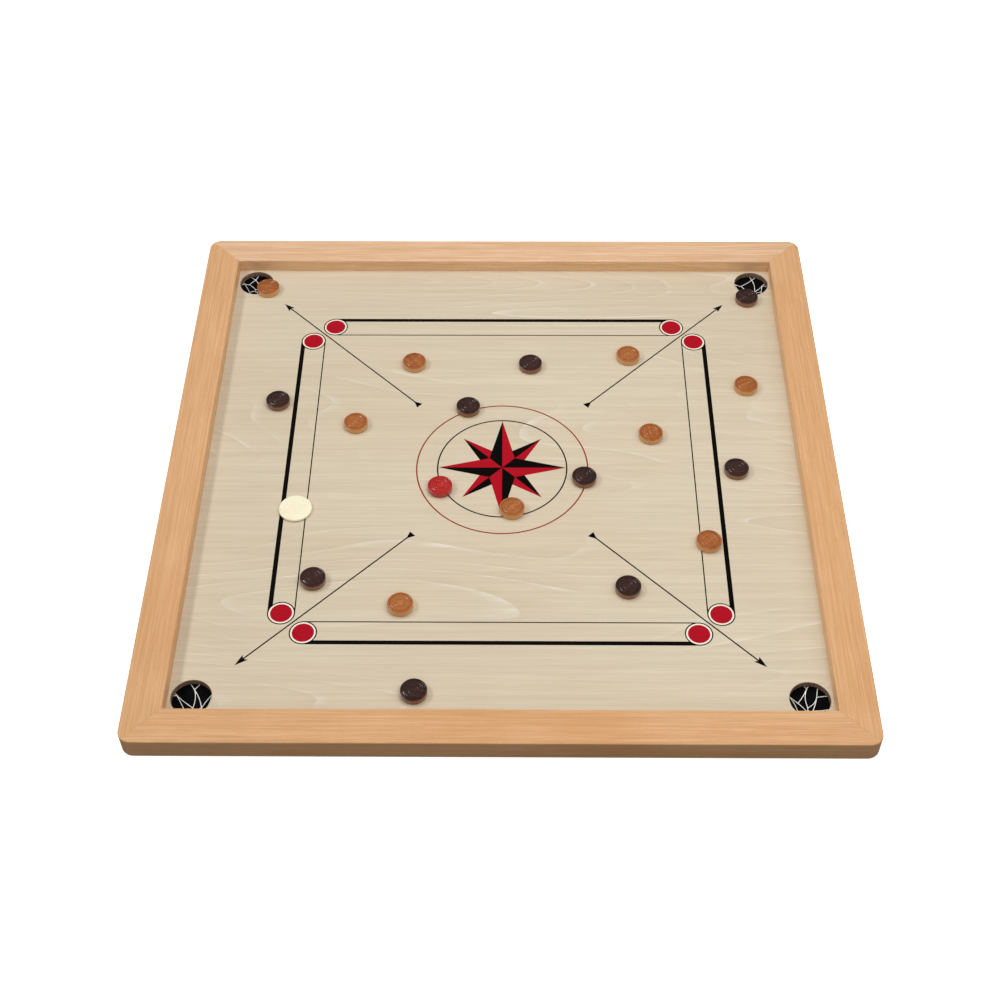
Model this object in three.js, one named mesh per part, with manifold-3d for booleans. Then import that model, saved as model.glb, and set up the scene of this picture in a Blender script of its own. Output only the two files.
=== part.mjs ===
// Carrom board: a square plywood playing panel let into a mitred hardwood frame, four netted
// corner pockets, nine light men, nine dark men, a queen and a striker set out in mid-game.
// Millimetres, +Z up. The origin is the centre of the frame's underside, and -Y is the near side.
import * as THREE from 'three';
import { mergeVertices } from 'three/addons/utils/BufferGeometryUtils.js';
import Module from 'manifold-3d';

const wasm = await Module();
wasm.setup();

// Frame and panel
const PLAY = 740;
const RAIL_W = 44;
const CUSHION_H = 18;
const PANEL_T = 8;
const RECESS = 2.5;
const EDGE_R = 1.5;
const CORNER_R = 15;
const REBATE_W = 8;
const PANEL_GAP = 0.3;
const MITRE_GAP = 0.1;

const SURFACE_Z = RECESS + PANEL_T;
const FRAME_H = SURFACE_Z + CUSHION_H;
const INNER = PLAY / 2;
const OUTER = INNER + RAIL_W;
const PANEL_HALF = INNER + REBATE_W - PANEL_GAP;

// Loose splines inside the mitres
const SPLINE_LENGTH = 32;
const SPLINE_W = 18;
const SPLINE_T = 3;
const SPLINE_ABOVE_PANEL = 6;
const SPLINE_FROM_CUSHION = 21;
const SPLINE_Z = SURFACE_Z + SPLINE_ABOVE_PANEL;
const SPLINE_CENTRE = INNER + SPLINE_FROM_CUSHION;
const SPLINE_GAP = 0.2;

// Pockets: hole, net and lining
const POCKET_R = 22.75;
const POCKET_FROM_CUSHION = 26;
const POCKET_CENTRE = INNER - POCKET_FROM_CUSHION;
const NET_INNER_R = 26.5;
const NET_OUTER_R = 29.6;
const NET_T = 0.9;
const LAYER_GAP = 0.15;
const NET_Z = RECESS - LAYER_GAP - NET_T;
const NET_PITCH = 11;
const NET_CORD_W = 1.1;
const NET_BARS = 4;
const LINING_R = 30;
const LINING_T = 0.5;
const LINING_Z = NET_Z - LAYER_GAP - LINING_T;
const LEG_HOLE_R = 0.6;
const LEG_HOLE_SEGMENTS = 6;

// Fasteners under the panel
const WIRE = 0.6;
const STAPLE_INNER_R = 25;
const STAPLE_SPAN = 6.2;
const STAPLE_BITE = 5;
const CROWN_GAP = 0.05;
const STAPLE_Z = LINING_Z - CROWN_GAP - WIRE;
const STAPLES_PER_POCKET = 3;
const PIN_R = 0.8;
const PIN_HEAD_R = 1.9;
const PIN_HEAD_T = 0.8;
const PIN_LENGTH = 16;
const PIN_POINT = 1.5;
const PIN_FROM_CENTRE = 190;
const PIN_LINE = INNER + REBATE_W / 2;
const FASTENER_GAP = 0.1;

// Playing pieces
const MAN_R = 15.25;
const MAN_T = 8.2;
const MAN_TOP_ROUND = 1;
const MAN_BASE_ROUND = 1;
const MAN_GROOVE_R = 12.8;
const MAN_GROOVE_W = 1.4;
const MAN_GROOVE_DEPTH = 0.5;
const STRIKER_R = 20.4;
const STRIKER_T = 4;
const STRIKER_ROUND = 1;
const POWDER_FILM = 0.05;

// Flats around a round part, or around half of a hole or rim drawn as an arc
const MAN_SEGMENTS = 22;
const STRIKER_SEGMENTS = 32;
const POCKET_ARC_SEGMENTS = 24;
const NET_ARC_SEGMENTS = 14;
const LINING_SEGMENTS = 28;
const SMALL_SEGMENTS = 8;
const CORNER_ARC_SEGMENTS = 4;
const EDGE_SEGMENTS = 3;

// Where each playing piece lies on the panel, as [x, y] from its centre
const LIGHT_MEN = [
  [-326, 328.6], [-117.4, 182.4], [166.1, 196.5],
  [317.4, 140.8], [-187.7, 71.9], [188.6, 54.4],
  [12.5, -70.7], [-117, -217.5], [248.8, -121.9],
];
const DARK_MEN = [
  [334.1, 310.1], [36.3, 179.7], [-291.2, 111.2],
  [-44.4, 100.7], [102.1, -19.7], [292.1, -5.3],
  [-221.7, -180.2], [148.9, -191.2], [-96.3, -338.1],
];
const QUEEN = [-76.6, -35.8];
const STRIKER = [-252.6, -70];

const SIDES = ['front', 'right', 'back', 'left'];
const CORNERS = ['front_right', 'back_right', 'back_left', 'front_left'];
const QUARTER = Math.PI / 2;

// colour, roughness, metalness
const FINISHES = {
  rail: [0xd8ac80, 0.5, 0],
  panel: [0xd8c4a4, 0.38, 0],
  spline: [0xcfb088, 0.7, 0],
  net: [0xecebe6, 0.9, 0],
  lining: [0x121214, 0.95, 0],
  steel: [0xb4b4b0, 0.35, 0.9],
  lightMan: [0xc8783c, 0.35, 0],
  darkMan: [0x3a2622, 0.35, 0],
  queen: [0xb92d2a, 0.35, 0],
  striker: [0xfaf6de, 0.2, 0],
};

function toSolid(geometry) {
  const bare = geometry.clone();
  bare.deleteAttribute('normal');
  bare.deleteAttribute('uv');
  const merged = mergeVertices(bare);
  return new wasm.Manifold(new wasm.Mesh({
    numProp: 3,
    vertProperties: new Float32Array(merged.attributes.position.array),
    triVerts: new Uint32Array(merged.index.array),
  }));
}

function toGeometry(solid) {
  const mesh = solid.getMesh();
  const geometry = new THREE.BufferGeometry();
  geometry.setAttribute('position', new THREE.BufferAttribute(mesh.vertProperties, 3));
  geometry.setIndex(new THREE.BufferAttribute(mesh.triVerts, 1));
  return geometry;
}

function cutAway(geometry, cutters) {
  let solid = toSolid(geometry);
  for (const cutter of cutters) {
    solid = solid.subtract(toSolid(cutter));
  }
  return toGeometry(solid);
}

function joined(geometries) {
  let solid = toSolid(geometries[0]);
  for (const geometry of geometries.slice(1)) {
    solid = solid.add(toSolid(geometry));
  }
  return toGeometry(solid);
}

function box(sizeX, sizeY, sizeZ, baseZ = 0) {
  return new THREE.BoxGeometry(sizeX, sizeY, sizeZ).translate(0, 0, baseZ + sizeZ / 2);
}

function post(radius, baseZ, topZ, segments = SMALL_SEGMENTS) {
  const height = topZ - baseZ;
  const cylinder = new THREE.CylinderGeometry(radius, radius, height, segments);
  return cylinder.rotateX(QUARTER).translate(0, 0, baseZ + height / 2);
}

function turned(profile, segments) {
  const points = profile.map(([radius, z]) => new THREE.Vector2(radius, z));
  return new THREE.LatheGeometry(points, segments).rotateX(QUARTER);
}

function slab(outline, thickness) {
  return new THREE.ExtrudeGeometry(outline, { depth: thickness, bevelEnabled: false });
}

function squareOutline(Outline, half) {
  const outline = new Outline();
  outline.moveTo(-half, -half);
  outline.lineTo(half, -half);
  outline.lineTo(half, half);
  outline.lineTo(-half, half);
  outline.closePath();
  return outline;
}

function roundedSquare(half, radius) {
  const flat = half - radius;
  const shape = new THREE.Shape();
  shape.absarc(flat, flat, radius, 0, QUARTER);
  shape.absarc(-flat, flat, radius, QUARTER, 2 * QUARTER);
  shape.absarc(-flat, -flat, radius, 2 * QUARTER, 3 * QUARTER);
  shape.absarc(flat, -flat, radius, 3 * QUARTER, 4 * QUARTER);
  shape.closePath();
  return shape;
}

// The whole frame with all long edges rounded, before it is mitred into four rails
function frameRing() {
  const shape = roundedSquare(OUTER, CORNER_R);
  shape.holes.push(squareOutline(THREE.Path, INNER));
  const ring = new THREE.ExtrudeGeometry(shape, {
    depth: FRAME_H - 2 * EDGE_R,
    bevelThickness: EDGE_R,
    bevelSize: EDGE_R,
    bevelOffset: -EDGE_R,
    bevelSegments: EDGE_SEGMENTS,
    curveSegments: CORNER_ARC_SEGMENTS,
  });
  return ring.translate(0, 0, EDGE_R);
}

// The quarter of the plan that belongs to the near rail, short of each mitre by half its gap
function mitreWedge() {
  const apex = -MITRE_GAP * Math.SQRT1_2;
  const reach = OUTER + RAIL_W;
  const wedge = new THREE.Shape();
  wedge.moveTo(0, apex);
  wedge.lineTo(-reach, apex - reach);
  wedge.lineTo(reach, apex - reach);
  wedge.closePath();
  return slab(wedge, FRAME_H + 2).translate(0, 0, -1);
}

function splinePlate(gap) {
  const plate = box(SPLINE_LENGTH + 2 * gap, SPLINE_W + 2 * gap, SPLINE_T + gap, SPLINE_Z);
  return plate.rotateZ(QUARTER / 2);
}

// The near rail: rebated below for the panel, slotted for the splines, drilled for the pins
function railGeometry() {
  const cutters = [];
  const rebateReach = 2 * RAIL_W;
  const rebate = box(2 * (INNER + REBATE_W), rebateReach, SURFACE_Z + 1, -1);
  cutters.push(rebate.translate(0, rebateReach / 2 - INNER - REBATE_W, 0));
  for (const side of [-1, 1]) {
    const slot = splinePlate(SPLINE_GAP).rotateZ(side < 0 ? 0 : QUARTER);
    cutters.push(slot.translate(side * SPLINE_CENTRE, -SPLINE_CENTRE, 0));
    const pinHole = post(PIN_R + FASTENER_GAP, RECESS, RECESS + PIN_LENGTH + FASTENER_GAP);
    cutters.push(pinHole.translate(side * PIN_FROM_CENTRE, -PIN_LINE, 0));
  }
  const near = toSolid(frameRing()).intersect(toSolid(mitreWedge()));
  return cutAway(toGeometry(near), cutters);
}

// Angles of one pocket's staples, measured from the line between two net cords
function stapleAngles() {
  return Array.from({ length: STAPLES_PER_POCKET }, (unused, index) => {
    return QUARTER / 2 + (index * 4 * QUARTER) / STAPLES_PER_POCKET;
  });
}

function stapleLegHoles(baseZ, topZ) {
  const holes = [];
  for (const angle of stapleAngles()) {
    for (const leg of [WIRE / 2, STAPLE_SPAN - WIRE / 2]) {
      const hole = post(LEG_HOLE_R, baseZ, topZ, LEG_HOLE_SEGMENTS);
      holes.push(hole.translate(STAPLE_INNER_R + leg, 0, 0).rotateZ(angle));
    }
  }
  return holes;
}

function pocketCentre(turn) {
  const centre = new THREE.Vector2(POCKET_CENTRE, -POCKET_CENTRE);
  return centre.rotateAround(new THREE.Vector2(), turn * QUARTER);
}

function panelGeometry() {
  const shape = squareOutline(THREE.Shape, PANEL_HALF);
  const pinHoles = [];
  const legHoles = [];
  for (let turn = 0; turn < 4; turn += 1) {
    const pocket = pocketCentre(turn);
    const hole = new THREE.Path();
    hole.absarc(pocket.x, pocket.y, POCKET_R, 0, 4 * QUARTER, true);
    shape.holes.push(hole);
    for (const side of [-1, 1]) {
      const pinHole = post(PIN_R + FASTENER_GAP, RECESS - 1, SURFACE_Z + 1);
      pinHole.translate(side * PIN_FROM_CENTRE, -PIN_LINE, 0);
      pinHoles.push(pinHole.rotateZ(turn * QUARTER));
    }
    for (const legHole of stapleLegHoles(RECESS - 1, RECESS + STAPLE_BITE + FASTENER_GAP)) {
      legHoles.push(legHole.translate(pocket.x, pocket.y, 0));
    }
  }
  const blank = new THREE.ExtrudeGeometry(shape, {
    depth: PANEL_T,
    bevelEnabled: false,
    curveSegments: POCKET_ARC_SEGMENTS,
  });
  return cutAway(blank.translate(0, 0, RECESS), [...pinHoles, ...legHoles]);
}

function splineGeometry() {
  return box(SPLINE_LENGTH, SPLINE_W, SPLINE_T);
}

// A flat net: a rim with cords crossing on the diagonals
function netGeometry() {
  const rim = new THREE.Shape();
  rim.absarc(0, 0, NET_OUTER_R, 0, 4 * QUARTER);
  const opening = new THREE.Path();
  opening.absarc(0, 0, NET_INNER_R, 0, 4 * QUARTER, true);
  rim.holes.push(opening);
  const parts = [new THREE.ExtrudeGeometry(rim, {
    depth: NET_T,
    bevelEnabled: false,
    curveSegments: NET_ARC_SEGMENTS,
  })];
  const anchorR = (NET_INNER_R + NET_OUTER_R) / 2;
  for (const diagonal of [-QUARTER / 2, QUARTER / 2]) {
    for (let index = 0; index < NET_BARS; index += 1) {
      const offset = (index - (NET_BARS - 1) / 2) * NET_PITCH;
      const chord = 2 * Math.sqrt(anchorR ** 2 - offset ** 2);
      parts.push(box(chord, NET_CORD_W, NET_T).translate(0, offset, 0).rotateZ(diagonal));
    }
  }
  return joined(parts);
}

function liningGeometry() {
  const disc = post(LINING_R, 0, LINING_T, LINING_SEGMENTS);
  return cutAway(disc, stapleLegHoles(-1, LINING_T + 1));
}

// Crown below, legs up; the inner leg stands at x = 0
function stapleGeometry() {
  const top = RECESS + STAPLE_BITE - STAPLE_Z;
  const wire = new THREE.Shape();
  wire.moveTo(0, 0);
  wire.lineTo(STAPLE_SPAN, 0);
  wire.lineTo(STAPLE_SPAN, top);
  wire.lineTo(STAPLE_SPAN - WIRE, top);
  wire.lineTo(STAPLE_SPAN - WIRE, WIRE);
  wire.lineTo(WIRE, WIRE);
  wire.lineTo(WIRE, top);
  wire.lineTo(0, top);
  wire.closePath();
  return slab(wire, WIRE).rotateX(QUARTER).translate(0, WIRE / 2, 0);
}

function pinGeometry() {
  return turned([
    [0, -PIN_HEAD_T],
    [PIN_HEAD_R, -PIN_HEAD_T],
    [PIN_HEAD_R, 0],
    [PIN_R, 0],
    [PIN_R, PIN_LENGTH - PIN_POINT],
    [0, PIN_LENGTH],
  ], SMALL_SEGMENTS);
}

// A turned disc with rounded rims and one ring cut in its top
function manGeometry() {
  const halfGroove = MAN_GROOVE_W / 2;
  return turned([
    [0, 0],
    [MAN_R - MAN_BASE_ROUND, 0],
    [MAN_R, MAN_BASE_ROUND],
    [MAN_R, MAN_T - MAN_TOP_ROUND],
    [MAN_R - MAN_TOP_ROUND, MAN_T],
    [MAN_GROOVE_R + halfGroove, MAN_T],
    [MAN_GROOVE_R, MAN_T - MAN_GROOVE_DEPTH],
    [MAN_GROOVE_R - halfGroove, MAN_T],
    [0, MAN_T],
  ], MAN_SEGMENTS);
}

function strikerGeometry() {
  return turned([
    [0, 0],
    [STRIKER_R - STRIKER_ROUND, 0],
    [STRIKER_R, STRIKER_ROUND],
    [STRIKER_R, STRIKER_T - STRIKER_ROUND],
    [STRIKER_R - STRIKER_ROUND, STRIKER_T],
    [0, STRIKER_T],
  ], STRIKER_SEGMENTS);
}

const board = new THREE.Group();
board.name = 'carrom_board';

function addPiece(name, geometry, finish, x, y, z, parent = board) {
  const [color, roughness, metalness] = FINISHES[finish];
  const material = new THREE.MeshStandardMaterial({ color, roughness, metalness });
  const mesh = new THREE.Mesh(geometry, material);
  mesh.name = name;
  mesh.position.set(x, y, z);
  parent.add(mesh);
  return mesh;
}

function addFrame() {
  const rail = railGeometry();
  const spline = splineGeometry();
  SIDES.forEach((side, turn) => {
    addPiece(`rail_${side}`, rail, 'rail', 0, 0, 0).rotation.z = turn * QUARTER;
  });
  CORNERS.forEach((corner, turn) => {
    const quarter = new THREE.Group();
    quarter.rotation.z = turn * QUARTER;
    board.add(quarter);
    const place = [SPLINE_CENTRE, -SPLINE_CENTRE, SPLINE_Z];
    const plate = addPiece(`mitre_spline_${corner}`, spline, 'spline', ...place, quarter);
    plate.rotation.z = -QUARTER / 2;
  });
}

function addPanel() {
  addPiece('playing_panel', panelGeometry(), 'panel', 0, 0, 0);
  const pin = pinGeometry();
  SIDES.forEach((side, turn) => {
    const quarter = new THREE.Group();
    quarter.rotation.z = turn * QUARTER;
    board.add(quarter);
    addPiece(`panel_pin_${side}_1`, pin, 'steel', -PIN_FROM_CENTRE, -PIN_LINE, RECESS, quarter);
    addPiece(`panel_pin_${side}_2`, pin, 'steel', PIN_FROM_CENTRE, -PIN_LINE, RECESS, quarter);
  });
}

function addPockets() {
  const net = netGeometry();
  const lining = liningGeometry();
  const staple = stapleGeometry();
  CORNERS.forEach((corner, turn) => {
    const centre = pocketCentre(turn);
    const pocket = new THREE.Group();
    pocket.position.set(centre.x, centre.y, 0);
    board.add(pocket);
    addPiece(`pocket_net_${corner}`, net, 'net', 0, 0, NET_Z, pocket);
    addPiece(`pocket_lining_${corner}`, lining, 'lining', 0, 0, LINING_Z, pocket);
    stapleAngles().forEach((angle, index) => {
      const x = STAPLE_INNER_R * Math.cos(angle);
      const y = STAPLE_INNER_R * Math.sin(angle);
      const name = `net_staple_${corner}_${index + 1}`;
      addPiece(name, staple, 'steel', x, y, STAPLE_Z, pocket).rotation.z = angle;
    });
  });
}

function addPlayingPieces() {
  const man = manGeometry();
  const restZ = SURFACE_Z + POWDER_FILM;
  LIGHT_MEN.forEach(([x, y], index) => {
    addPiece(`light_man_${index + 1}`, man, 'lightMan', x, y, restZ);
  });
  DARK_MEN.forEach(([x, y], index) => {
    addPiece(`dark_man_${index + 1}`, man, 'darkMan', x, y, restZ);
  });
  addPiece('queen', man, 'queen', ...QUEEN, restZ);
  addPiece('striker', strikerGeometry(), 'striker', ...STRIKER, restZ);
}

addFrame();
addPanel();
addPockets();
addPlayingPieces();

export default board;
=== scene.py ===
"""Looks for the carrom board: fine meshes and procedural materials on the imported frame.

Lengths in the shape functions are millimetres in the row frame; MM turns them into metres.
"""

import math
import random

import bmesh
import bpy
from mathutils import Matrix, Vector
from mathutils.geometry import tessellate_polygon


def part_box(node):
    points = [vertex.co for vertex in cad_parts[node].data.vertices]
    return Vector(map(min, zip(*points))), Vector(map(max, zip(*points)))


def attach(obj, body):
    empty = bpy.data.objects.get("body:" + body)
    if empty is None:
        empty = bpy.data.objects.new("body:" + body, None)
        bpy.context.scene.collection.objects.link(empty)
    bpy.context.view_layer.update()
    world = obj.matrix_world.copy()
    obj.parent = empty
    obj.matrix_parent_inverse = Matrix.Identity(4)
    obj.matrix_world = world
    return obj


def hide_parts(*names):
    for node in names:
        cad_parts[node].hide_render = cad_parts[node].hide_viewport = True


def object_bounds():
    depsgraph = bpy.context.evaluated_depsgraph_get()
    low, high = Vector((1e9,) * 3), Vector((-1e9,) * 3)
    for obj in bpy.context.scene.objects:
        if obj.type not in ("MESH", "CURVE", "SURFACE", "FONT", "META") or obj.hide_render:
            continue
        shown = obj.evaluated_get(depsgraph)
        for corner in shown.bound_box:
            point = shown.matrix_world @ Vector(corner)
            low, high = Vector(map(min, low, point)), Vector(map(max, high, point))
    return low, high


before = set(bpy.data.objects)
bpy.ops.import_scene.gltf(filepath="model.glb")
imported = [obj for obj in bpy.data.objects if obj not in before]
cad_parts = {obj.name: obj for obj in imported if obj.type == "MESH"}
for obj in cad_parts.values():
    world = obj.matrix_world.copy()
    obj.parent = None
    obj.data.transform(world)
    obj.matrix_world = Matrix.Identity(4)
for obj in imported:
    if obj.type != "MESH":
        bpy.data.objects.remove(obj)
FRAME_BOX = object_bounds()

MM = 0.001
SIDES = ("front", "right", "back", "left")
CORNERS = ("front_right", "back_right", "back_left", "front_left")
QUARTER = math.pi / 2


def cad_box(node):
    """Lowest and highest corner of a CAD node, in millimetres."""
    low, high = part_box(node)
    return Vector(low) / MM, Vector(high) / MM


def cad_centre(node):
    low, high = cad_box(node)
    return (low + high) / 2


PANEL_LOW, PANEL_HIGH = cad_box("playing_panel")
UNDERSIDE_Z = PANEL_LOW.z
SURFACE_Z = PANEL_HIGH.z
PANEL_HALF = PANEL_HIGH.x
RAIL_LOW, RAIL_HIGH = cad_box("rail_front")
OUTER = -RAIL_LOW.y
INNER = -RAIL_HIGH.y
FRAME_H = RAIL_HIGH.z
PANEL_GAP = 0.3
REBATE_W = PANEL_HALF - INNER + PANEL_GAP
POCKET_R = 22.75
POCKET_CENTRE = cad_centre("pocket_net_back_right").x


# ---------------------------------------------------------------- mesh helpers


def new_object(name, mesh, materials, body, replaced=()):
    """Links a finished mesh as one piece that rides on a CAD body."""
    obj = bpy.data.objects.new(name, mesh)
    bpy.context.scene.collection.objects.link(obj)
    for material in materials:
        mesh.materials.append(material)
    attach(obj, body)
    if replaced:
        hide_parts(*replaced)
    return obj


def mesh_from(name, points, faces, crease=math.radians(35)):
    """A smooth-shaded mesh in metres from points in millimetres, with sharp creases kept."""
    mesh = bpy.data.meshes.new(name)
    mesh.from_pydata([Vector(point) * MM for point in points], [], faces)
    build = bmesh.new()
    build.from_mesh(mesh)
    bmesh.ops.remove_doubles(build, verts=build.verts, dist=1e-7)
    bmesh.ops.recalc_face_normals(build, faces=build.faces)
    build.to_mesh(mesh)
    build.free()
    shade(mesh, crease)
    return mesh


def shade(mesh, crease):
    mesh.shade_smooth()
    mesh.set_sharp_from_angle(angle=crease)


def store_grain(mesh, to_grain, shift=(0, 0, 0)):
    """Stores where each vertex lies in its board: x along the grain, in metres."""
    layer = mesh.attributes.new("grain", "FLOAT_VECTOR", "POINT")
    offset = Vector(shift)
    for vertex, value in zip(mesh.vertices, layer.data):
        value.vector = to_grain @ vertex.co + offset


def store_numbers(mesh, name, values):
    mesh.attributes.new(name, "FLOAT", "POINT").data.foreach_set("value", values)


def turned_points(profile, segments):
    """Points and faces of a lathe shape from (radius, height) pairs, axis to axis."""
    points = []
    rings = []
    for radius, height in profile:
        if radius == 0:
            rings.append([len(points)] * segments)
            points.append((0, 0, height))
            continue
        ring = []
        for step in range(segments):
            angle = 2 * math.pi * step / segments
            ring.append(len(points))
            points.append((radius * math.cos(angle), radius * math.sin(angle), height))
        rings.append(ring)
    faces = []
    for lower, upper in zip(rings, rings[1:]):
        for step in range(segments):
            after = (step + 1) % segments
            face = [lower[step], lower[after], upper[after], upper[step]]
            faces.append(tuple(dict.fromkeys(face)))
    return points, faces


def smooth_profile(knots, steps=4):
    """Catmull-Rom curve through (radius, height) knots, so that turned forms run smoothly."""
    fine = []
    padded = [knots[0], *knots, knots[-1]]
    for before, start, end, after in zip(padded, padded[1:], padded[2:], padded[3:]):
        for step in range(steps):
            t = step / steps
            fine.append(tuple(
                0.5 * (2 * b + (c - a) * t + (2 * a - 5 * b + 4 * c - d) * t * t
                       + (3 * b - a - 3 * c + d) * t ** 3)
                for a, b, c, d in zip(before, start, end, after)
            ))
    fine.append(knots[-1])
    return [(max(radius, 0), height) for radius, height in fine]


def tube_mesh(name, paths, radius, sides=8):
    """One mesh of round cords, each along a list of points in millimetres."""
    curve = bpy.data.curves.new(name + "_path", "CURVE")
    curve.dimensions = "3D"
    curve.bevel_depth = radius * MM
    curve.bevel_resolution = sides // 4
    curve.use_fill_caps = True
    for path in paths:
        spline = curve.splines.new("POLY")
        spline.points.add(len(path) - 1)
        for point, place in zip(spline.points, path):
            point.co = (*(Vector(place) * MM), 1)
    holder = bpy.data.objects.new(name + "_path", curve)
    bpy.context.scene.collection.objects.link(holder)
    bpy.context.view_layer.update()
    mesh = bpy.data.meshes.new_from_object(holder)
    bpy.data.objects.remove(holder)
    mesh.shade_smooth()
    return mesh


def add_bevel(obj, width, segments=2, angle=math.radians(40)):
    bevel = obj.modifiers.new("edge", "BEVEL")
    bevel.width = width * MM
    bevel.segments = segments
    bevel.limit_method = "ANGLE"
    bevel.angle_limit = angle
    level = obj.modifiers.new("level", "WEIGHTED_NORMAL")
    level.keep_sharp = False


# ------------------------------------------------------------ material helpers


def tone(code):
    """Linear colour from a six-digit sRGB code."""
    channels = [int(code[i:i + 2], 16) / 255 for i in (0, 2, 4)]
    return (*[c / 12.92 if c <= 0.04045 else ((c + 0.055) / 1.055) ** 2.4 for c in channels], 1)


class Look:
    """Adds shader nodes to one new material and wires them by socket name."""

    def __init__(self, name):
        self.material = bpy.data.materials.new(name)
        self.material.use_nodes = True
        self.tree = self.material.node_tree
        self.surface = self.tree.nodes["Principled BSDF"]

    def feed(self, socket, value):
        if isinstance(value, bpy.types.NodeSocket):
            self.tree.links.new(value, socket)
        else:
            socket.default_value = value

    def node(self, kind, settings=None, **inputs):
        made = self.tree.nodes.new("ShaderNode" + kind)
        for key, value in (settings or {}).items():
            setattr(made, key, value)
        for name, value in inputs.items():
            self.feed(made.inputs[name.replace("_", " ")], value)
        return made

    def attribute(self, name, output="Vector"):
        return self.node("Attribute", {"attribute_name": name}).outputs[output]

    def scaled(self, vector, scale, shift=(0, 0, 0)):
        return self.node("Mapping", Vector=vector, Scale=scale, Location=shift).outputs["Vector"]

    def noise(self, vector, scale, detail=3, roughness=0.5, distortion=0):
        made = self.node("TexNoise", Vector=vector, Scale=scale, Detail=detail,
                         Roughness=roughness, Distortion=distortion)
        return made.outputs["Fac"]

    def math(self, operation, first, second=0.0, third=0.0):
        made = self.node("Math", {"operation": operation})
        for socket, value in zip(made.inputs, (first, second, third)):
            self.feed(socket, value)
        return made.outputs["Value"]

    def ramp(self, factor, *stops):
        """Colour ramp from (position, colour or number) stops."""
        made = self.node("ValToRGB", Fac=factor)
        elements = made.color_ramp.elements
        while len(elements) < len(stops):
            elements.new(0.5)
        for element, (position, value) in zip(elements, stops):
            element.position = position
            element.color = value if isinstance(value, tuple) else (value, value, value, 1)
        return made.outputs["Color"]

    def mix(self, factor, first, second, blend="MIX"):
        made = self.node("Mix", {"data_type": "RGBA", "blend_type": blend})
        for index, value in ((0, factor), (6, first), (7, second)):
            self.feed(made.inputs[index], value)
        return made.outputs[2]

    def bump(self, height, distance, strength=1.0):
        made = self.node("Bump", Height=height, Distance=distance * MM, Strength=strength)
        self.tree.links.new(made.outputs["Normal"], self.surface.inputs["Normal"])

    def finish(self, **inputs):
        for name, value in inputs.items():
            self.feed(self.surface.inputs[name.replace("_", " ")], value)
        return self.material


# ------------------------------------------------------------------- materials


def beech():
    """Satin beech: fine straight streaks, faint bands, soft mottle and short dark flecks."""
    look = Look("beech")
    grain = look.attribute("grain")
    warp = look.noise(look.scaled(grain, (3.5, 9, 9)), 1.0, 3, 0.55)
    mottle = look.noise(look.scaled(grain, (22, 40, 40)), 1.0, 3, 0.6)
    bands = look.noise(look.scaled(grain, (1.6, 75, 75)), 1.0, 4, 0.65, 0.5)
    streaks = look.noise(look.scaled(grain, (6, 480, 480)), 1.0, 4, 0.7)
    fibre = look.noise(look.scaled(grain, (20, 1000, 1000)), 1.0, 3, 0.6)
    flecks = look.noise(look.scaled(grain, (90, 1300, 1300)), 1.0, 1, 0.5)
    base = look.ramp(bands, (0.3, tone("deae7c")), (0.5, tone("e3b486")), (0.72, tone("e6b98b")))
    mottled = look.mix(look.ramp(mottle, (0.4, 0.2), (0.62, 0.0)), base, tone("d09a64"))
    paler = look.mix(look.attribute("tone", "Fac"), mottled, tone("f0cfae"))
    # Painted light: the cushion faces are mixed towards a paler, warmer colour, standing in for the
    # light they catch.
    cushion_lit = look.mix(look.attribute("cushion", "Fac"), paler, tone("fcd2a4"))
    patch = look.mix(look.ramp(warp, (0.55, 0.0), (0.72, 0.45)), cushion_lit, tone("d0965f"))
    streaked = look.mix(look.ramp(streaks, (0.36, 0.5), (0.6, 0.0)), patch, tone("c48d5a"))
    fibred = look.mix(look.ramp(fibre, (0.35, 0.42), (0.65, 0.0)), streaked, tone("bd8650"))
    flecked = look.mix(look.ramp(flecks, (0.66, 0.0), (0.76, 0.35)), fibred, tone("a06c40"))
    rough = look.math("ADD", look.math("MULTIPLY", fibre, 0.16), 0.36)
    look.bump(look.math("ADD", fibre, look.math("MULTIPLY", flecks, 0.5)), 0.03, 0.5)
    return look.finish(Base_Color=flecked, Roughness=rough, Specular_IOR_Level=0.4)


def figured_ply(look, grain, pale, mid, dark):
    """Rotary-cut veneer: thin broken contour lines of slow noise, crossed by fibre."""
    slow = look.noise(look.scaled(grain, (0.9, 4.6, 4.6)), 1.0, 2, 0.45, 0.3)
    rings = look.math("FRACT", look.math("MULTIPLY", slow, 27))
    fade = look.noise(look.scaled(grain, (3.0, 8.0, 8.0), (5.3, 1.9, 0)), 1.0, 2, 0.5)
    streak = look.noise(look.scaled(grain, (3.5, 170, 170), (0.4, 2.0, 0)), 1.0, 4, 0.7)
    fibre = look.noise(look.scaled(grain, (11, 560, 560)), 1.0, 4, 0.65)
    cloud = look.noise(look.scaled(grain, (2.5, 5, 5), (3.1, 0.7, 0)), 1.0, 3, 0.5)
    breaks = look.noise(look.scaled(grain, (16, 90, 90)), 1.0, 3, 0.6)
    broken = look.ramp(breaks, (0.35, 0.25), (0.6, 1))
    shown = look.math("MULTIPLY", look.ramp(fade, (0.42, 0.1), (0.6, 1.0)), broken)
    base = look.mix(look.ramp(cloud, (0.35, 0.0), (0.7, 1.0)), mid, pale)
    late = look.math("MULTIPLY", look.ramp(rings, (0.0, 0.32), (0.4, 0.0)), shown)
    early = look.math("MULTIPLY", look.ramp(rings, (0.84, 0.0), (0.97, 0.75)), shown)
    ringed = look.mix(early, look.mix(late, base, dark), look.mix(0.35, pale, (1, 1, 1, 1)))
    streaked = look.mix(look.ramp(streak, (0.38, 0.32), (0.6, 0.0)), ringed, dark)
    fibred = look.mix(look.ramp(fibre, (0.34, 0.3), (0.62, 0.0)), streaked, dark)
    return fibred, fibre


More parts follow.
